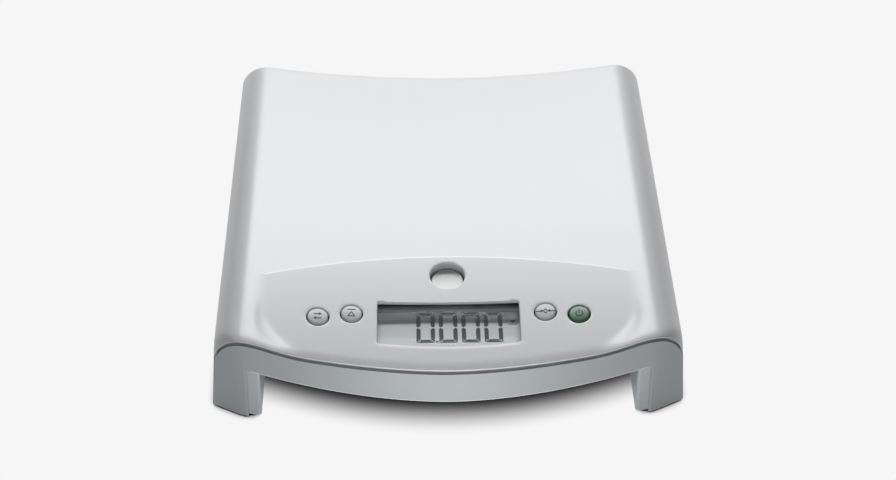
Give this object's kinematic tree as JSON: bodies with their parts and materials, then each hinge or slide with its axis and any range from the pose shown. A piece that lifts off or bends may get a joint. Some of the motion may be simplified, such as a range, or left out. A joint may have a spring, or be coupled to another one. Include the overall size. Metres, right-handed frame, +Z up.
{
  "type": "digital baby weighing scale",
  "caption": "Digital baby scale base with a dished step-on platform, curved control panel, LCD window, round push keys, a tray release button and weighing feet in two side legs.",
  "frame": {"origin": "on the floor, under the middle of the outline", "axes": "+X to the user's right, +Y to the back, +Z up; the control panel faces -Y"},
  "size_m": [0.3246, 0.322, 0.07],
  "materials": {
    "cover_plastic": "fine moulded grain",
    "skirt_plastic": "fine moulded grain",
    "tray_plastic": "fine moulded grain",
    "key_plastic": "satin",
    "green_key_plastic": "satin",
    "release_plastic": "satin",
    "clear_window": "clear moulded",
    "lcd": "reflective segment display",
    "dark_plastic": "moulded",
    "circuit_board": "solder mask",
    "steel": "plated",
    "alloy": "machined",
    "rubber": "moulded",
    "cell_case": "plain jacket",
    "lead_jacket": "extruded"
  },
  "bodies": {
    "base": {"platform_cover": "cover_plastic", "skirt_housing": "skirt_plastic", "base_tray": "tray_plastic", "display_window": "clear_window", "lcd_frame": "dark_plastic", "lcd_glass": "lcd", "lcd_contact_strip": "rubber", "main_board": "circuit_board", "unit_switch_body": "dark_plastic", "hold_switch_body": "dark_plastic", "tare_switch_body": "dark_plastic", "start_switch_body": "dark_plastic", "release_spring": "steel", "release_guide": "tray_plastic", "battery_cell_1": "cell_case", "battery_cell_2": "cell_case", "battery_cell_3": "cell_case", "battery_cell_4": "cell_case", "battery_contact_front": "steel", "battery_contact_rear": "steel", "load_cell_front_left": "alloy", "load_cell_front_right": "alloy", "load_cell_rear_left": "alloy", "load_cell_rear_right": "alloy", "foot_holder_front_left": "dark_plastic", "foot_holder_front_right": "dark_plastic", "foot_holder_rear_left": "dark_plastic", "foot_holder_rear_right": "dark_plastic", "foot_pad_front_left": "rubber", "foot_pad_front_right": "rubber", "foot_pad_rear_left": "rubber", "foot_pad_rear_right": "rubber", "cover_screw_front_left": "steel", "cover_screw_front_right": "steel", "cover_screw_middle_left": "steel", "cover_screw_middle_right": "steel", "cover_screw_rear_left": "steel", "cover_screw_rear_right": "steel", "board_screw_left": "steel", "board_screw_right": "steel", "cell_screw_front_left": "steel", "cell_screw_front_right": "steel", "cell_screw_rear_left": "steel", "cell_screw_rear_right": "steel", "load_cell_lead_front_left": "lead_jacket", "load_cell_lead_front_right": "lead_jacket", "load_cell_lead_rear_left": "lead_jacket", "load_cell_lead_rear_right": "lead_jacket", "battery_lead": "lead_jacket"},
    "unit_key": {"unit_key_cap": "key_plastic", "unit_switch_plunger": "dark_plastic"},
    "hold_key": {"hold_key_cap": "key_plastic", "hold_switch_plunger": "dark_plastic"},
    "tare_key": {"tare_key_cap": "key_plastic", "tare_switch_plunger": "dark_plastic"},
    "start_key": {"start_key_cap": "green_key_plastic", "start_switch_plunger": "dark_plastic"},
    "tray_release": {"release_button": "release_plastic"},
    "battery_hatch": {"battery_door": "tray_plastic"}
  },
  "joints": [
    {"name": "unit_key_press", "type": "slide", "parent": "base", "child": "unit_key", "axis": [0, 0, -1], "range_m": [0, 0.0008], "stiffness_N_per_m": 600, "springref_m": -0.0008},
    {"name": "hold_key_press", "type": "slide", "parent": "base", "child": "hold_key", "axis": [0, 0, -1], "range_m": [0, 0.0008], "stiffness_N_per_m": 600, "springref_m": -0.0008},
    {"name": "tare_key_press", "type": "slide", "parent": "base", "child": "tare_key", "axis": [0, 0, -1], "range_m": [0, 0.0008], "stiffness_N_per_m": 600, "springref_m": -0.0008},
    {"name": "start_key_press", "type": "slide", "parent": "base", "child": "start_key", "axis": [0, 0, -1], "range_m": [0, 0.0008], "stiffness_N_per_m": 600, "springref_m": -0.0008},
    {"name": "tray_release_press", "type": "slide", "parent": "base", "child": "tray_release", "axis": [0, 0, -1], "range_m": [0, 0.003], "stiffness_N_per_m": 400, "springref_m": -0.002, "deforming": ["release_spring"]},
    {"name": "battery_door_swing", "type": "hinge", "parent": "base", "child": "battery_hatch", "pos_m": [0, 0.0694, 0.0301], "axis": [1, 0, 0], "range_deg": [0, 70]}
  ]
}
